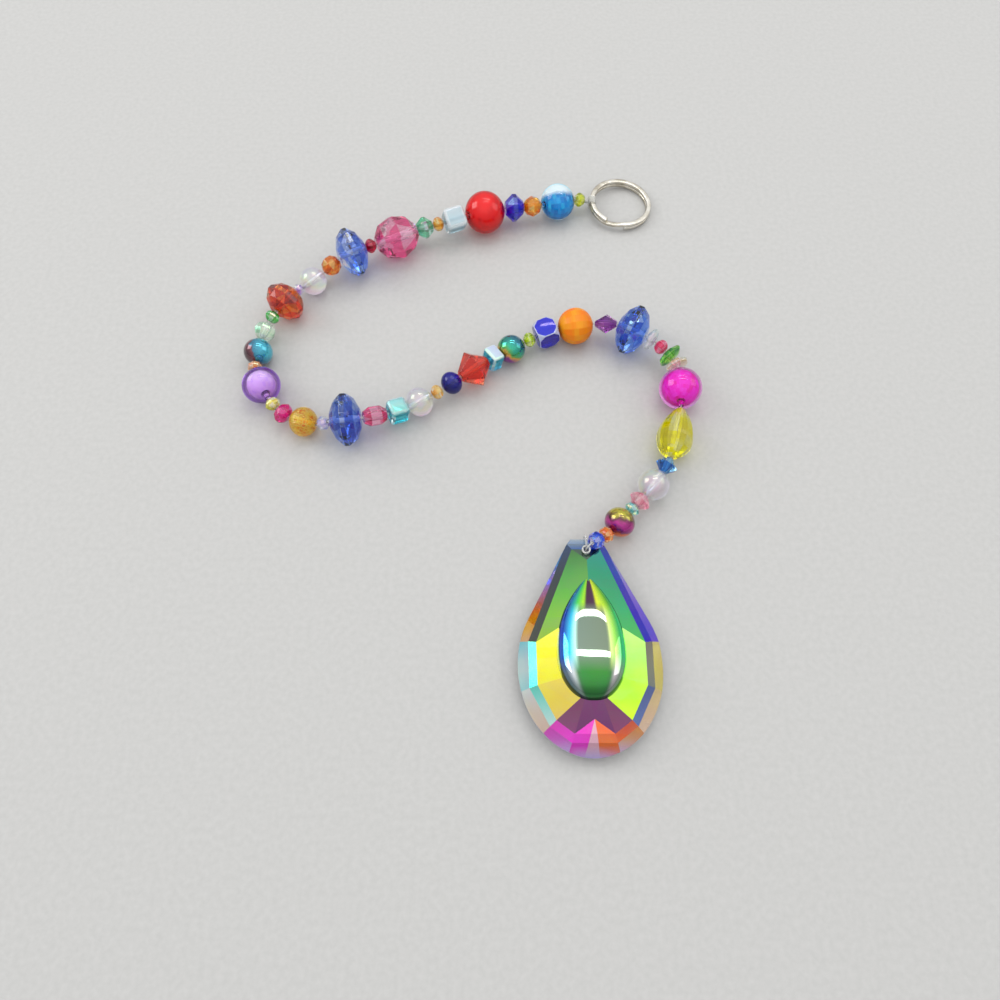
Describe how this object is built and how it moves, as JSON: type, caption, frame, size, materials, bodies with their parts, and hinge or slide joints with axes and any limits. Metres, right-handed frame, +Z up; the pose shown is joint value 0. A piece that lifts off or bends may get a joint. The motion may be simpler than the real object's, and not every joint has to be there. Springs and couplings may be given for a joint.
{
  "type": "crystal suncatcher",
  "caption": "Strand of mixed coloured beads from a steel split ring to an iridescent cut crystal drop, lying in an S curve.",
  "frame": {"origin": "on the table under the middle of the whole object", "axes": "+Z up from the table it lies on; +Y from the crystal drop's end towards the split ring's end; +X to the right, where the strand's second bend is"},
  "size_m": [0.131, 0.1824, 0.0146],
  "materials": {
    "citrine_seed": "polished, see-through",
    "azure_core_round": "polished, see-through",
    "orange_round_small": "polished, see-through",
    "cobalt_rondelle": "polished, see-through",
    "red_core_round": "polished",
    "opal_cube": "polished, see-through",
    "amber_seed_a": "polished, see-through",
    "emerald_rondelle": "polished, see-through",
    "rose_crystal_round": "polished, see-through",
    "garnet_seed": "polished, see-through",
    "sapphire_rondelle_a": "polished, see-through",
    "orange_round_b": "polished, see-through",
    "clear_round_a": "polished, see-through",
    "lilac_spacer": "polished, see-through",
    "vermilion_rondelle": "polished, see-through",
    "peridot_seed": "polished, see-through",
    "pale_green_crystal": "polished, see-through",
    "iris_round_brown": "polished",
    "orange_seed_a": "polished, see-through",
    "violet_core_round": "polished, see-through",
    "lemon_seed": "polished, see-through",
    "fuchsia_rondelle": "polished, see-through",
    "honey_crackle_round": "polished, see-through",
    "lilac_seed": "polished, see-through",
    "sapphire_rondelle_b": "polished, see-through",
    "rose_barrel": "polished, see-through",
    "teal_cube": "polished, see-through",
    "clear_round_b": "polished, see-through",
    "amber_seed_b": "polished, see-through",
    "navy_round": "polished",
    "scarlet_bicone": "polished, see-through",
    "teal_tile": "polished, see-through",
    "iris_round_green": "polished",
    "lime_seed": "polished, see-through",
    "cobalt_cube": "polished, see-through",
    "tangerine_round": "polished",
    "amethyst_bicone": "polished, see-through",
    "sapphire_rondelle_c": "polished, see-through",
    "clear_disc": "polished, see-through",
    "coral_seed": "polished, see-through",
    "green_disc": "polished, see-through",
    "peach_disc": "polished, see-through",
    "magenta_core_round": "polished",
    "lemon_drop": "polished, see-through",
    "navy_bicone": "polished, see-through",
    "clear_round_c": "polished, see-through",
    "pink_rondelle": "polished, see-through",
    "aqua_spacer": "polished, see-through",
    "iris_round_magenta": "polished",
    "orange_seed_b": "polished, see-through",
    "cobalt_seed": "polished, see-through",
    "aurora_crystal": "cut and polished, with an iridescent coat",
    "nickel_steel": "nickel plated",
    "clear_nylon": "clear"
  },
  "bodies": {
    "root": {"bead_01_citrine_seed": "citrine_seed", "bead_02_azure_core_round": "azure_core_round", "bead_03_orange_round_small": "orange_round_small", "bead_04_cobalt_rondelle": "cobalt_rondelle", "bead_05_red_core_round": "red_core_round", "bead_06_opal_cube": "opal_cube", "bead_07_amber_seed_a": "amber_seed_a", "bead_08_emerald_rondelle": "emerald_rondelle", "bead_09_rose_crystal_round": "rose_crystal_round", "bead_10_garnet_seed": "garnet_seed", "bead_11_sapphire_rondelle_a": "sapphire_rondelle_a", "bead_12_orange_round_b": "orange_round_b", "bead_13_clear_round_a": "clear_round_a", "bead_14_lilac_spacer": "lilac_spacer", "bead_15_vermilion_rondelle": "vermilion_rondelle", "bead_16_peridot_seed": "peridot_seed", "bead_17_pale_green_crystal": "pale_green_crystal", "bead_18_iris_round_brown": "iris_round_brown", "bead_19_orange_seed_a": "orange_seed_a", "bead_20_violet_core_round": "violet_core_round", "bead_21_lemon_seed": "lemon_seed", "bead_22_fuchsia_rondelle": "fuchsia_rondelle", "bead_23_honey_crackle_round": "honey_crackle_round", "bead_24_lilac_seed": "lilac_seed", "bead_25_sapphire_rondelle_b": "sapphire_rondelle_b", "bead_26_rose_barrel": "rose_barrel", "bead_27_teal_cube": "teal_cube", "bead_28_clear_round_b": "clear_round_b", "bead_29_amber_seed_b": "amber_seed_b", "bead_30_navy_round": "navy_round", "bead_31_scarlet_bicone": "scarlet_bicone", "bead_32_teal_tile": "teal_tile", "bead_33_iris_round_green": "iris_round_green", "bead_34_lime_seed": "lime_seed", "bead_35_cobalt_cube": "cobalt_cube", "bead_36_tangerine_round": "tangerine_round", "bead_37_amethyst_bicone": "amethyst_bicone", "bead_38_sapphire_rondelle_c": "sapphire_rondelle_c", "bead_39_clear_disc": "clear_disc", "bead_40_coral_seed": "coral_seed", "bead_41_green_disc": "green_disc", "bead_42_peach_disc": "peach_disc", "bead_43_magenta_core_round": "magenta_core_round", "bead_44_lemon_drop": "lemon_drop", "bead_45_navy_bicone": "navy_bicone", "bead_46_clear_round_c": "clear_round_c", "bead_47_pink_rondelle": "pink_rondelle", "bead_48_aqua_spacer": "aqua_spacer", "bead_49_iris_round_magenta": "iris_round_magenta", "bead_50_orange_seed_b": "orange_seed_b", "bead_51_cobalt_seed": "cobalt_seed", "crystal_drop": "aurora_crystal", "split_ring": "nickel_steel", "stringing_thread": "clear_nylon"}
  },
  "joints": []
}
